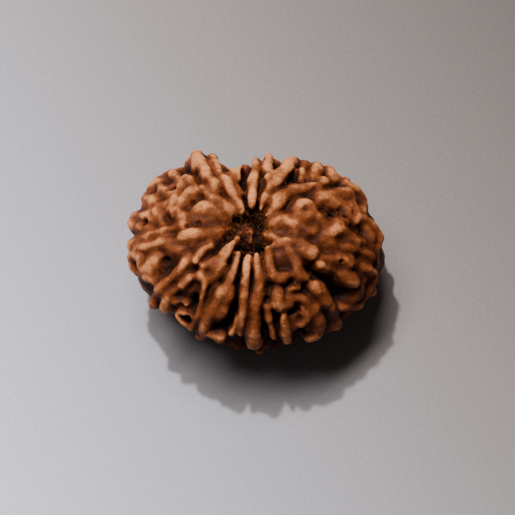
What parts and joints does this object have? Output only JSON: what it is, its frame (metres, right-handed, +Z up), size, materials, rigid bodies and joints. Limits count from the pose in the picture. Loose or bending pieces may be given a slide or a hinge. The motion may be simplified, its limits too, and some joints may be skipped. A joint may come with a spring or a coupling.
{
  "type": "rudraksha seed",
  "caption": "A rudraksha seed: the hard, deeply clefted, many-faced stone of one fruit, reddish brown, with a plugged pit at its pole",
  "frame": {"origin": "middle of the seed's plan, at the height of the flat spot it rests on", "axes": "+X along the seed's longest width, +Y away from the picture's camera, +Z up along the line through the two pits"},
  "size_m": [0.032, 0.0264, 0.018],
  "materials": {
    "seed_shell": "satin"
  },
  "bodies": {
    "root": {"rudraksha_seed": "seed_shell"}
  },
  "joints": []
}
